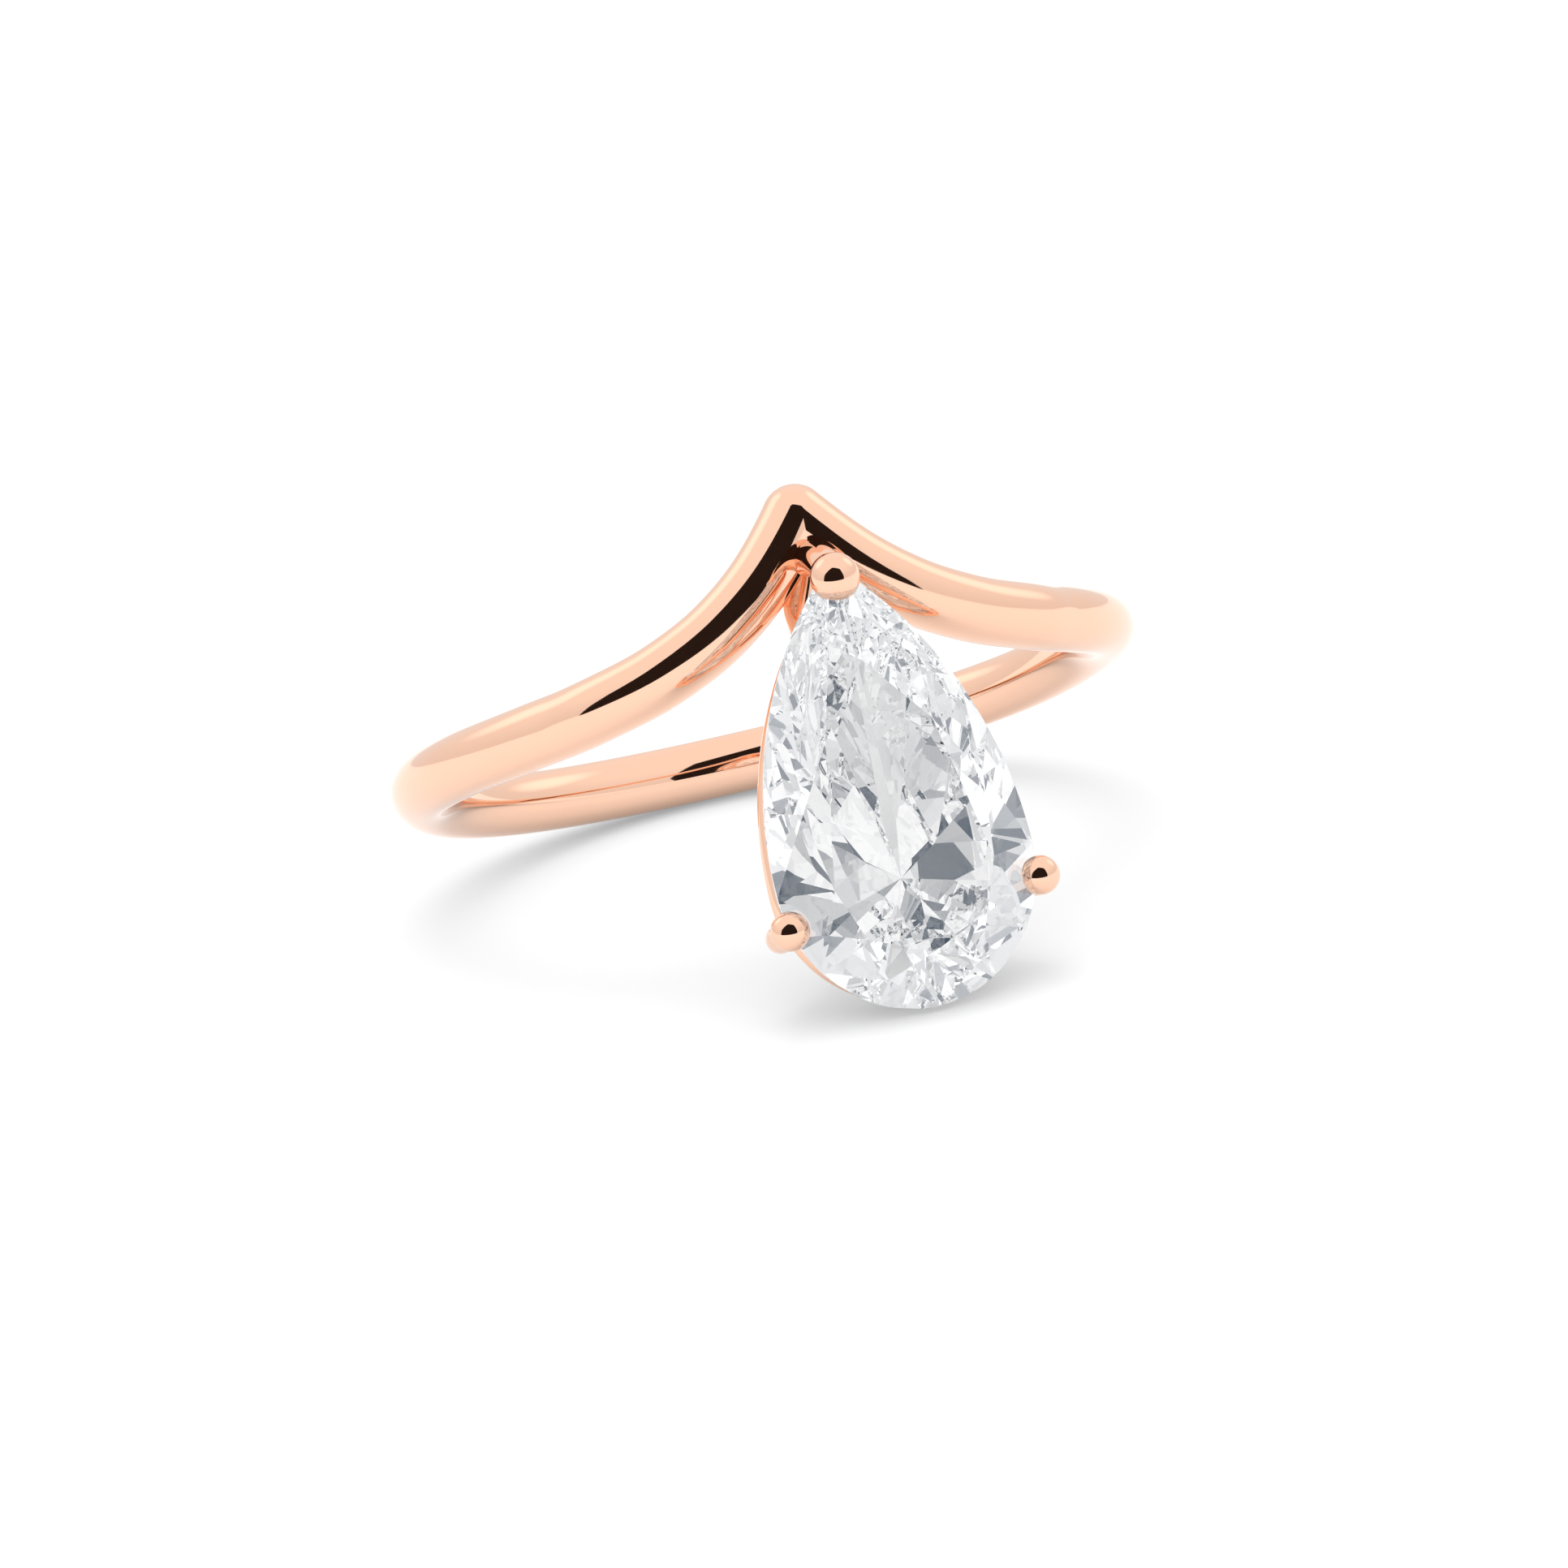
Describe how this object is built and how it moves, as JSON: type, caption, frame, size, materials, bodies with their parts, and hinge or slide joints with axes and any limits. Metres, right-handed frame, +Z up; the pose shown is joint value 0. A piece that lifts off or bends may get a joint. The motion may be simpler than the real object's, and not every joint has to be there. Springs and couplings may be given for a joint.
{
  "type": "engagement ring",
  "caption": "Pear-cut solitaire engagement ring on a slim rose-gold chevron band, claw set with ball-tipped claws, lying at rest.",
  "frame": {"origin": "middle of the resting ring's footprint, on the table", "axes": "+Z up from the table the ring lies on; +Y from the stone's face towards the palm side of the band; +X to the wearer's left arm of the chevron as drawn, across the ring"},
  "size_m": [0.0204, 0.0244, 0.0122],
  "materials": {
    "rose_gold": "mirror polished rose gold",
    "diamond": "faceted and polished, colourless"
  },
  "bodies": {
    "root": {"shank_right_arm": "rose_gold", "shank_left_arm": "rose_gold", "bridge": "rose_gold", "base_rail": "rose_gold", "gallery_rail": "rose_gold", "tip_claw": "rose_gold", "right_claw": "rose_gold", "left_claw": "rose_gold", "pear_diamond": "diamond"}
  },
  "joints": []
}
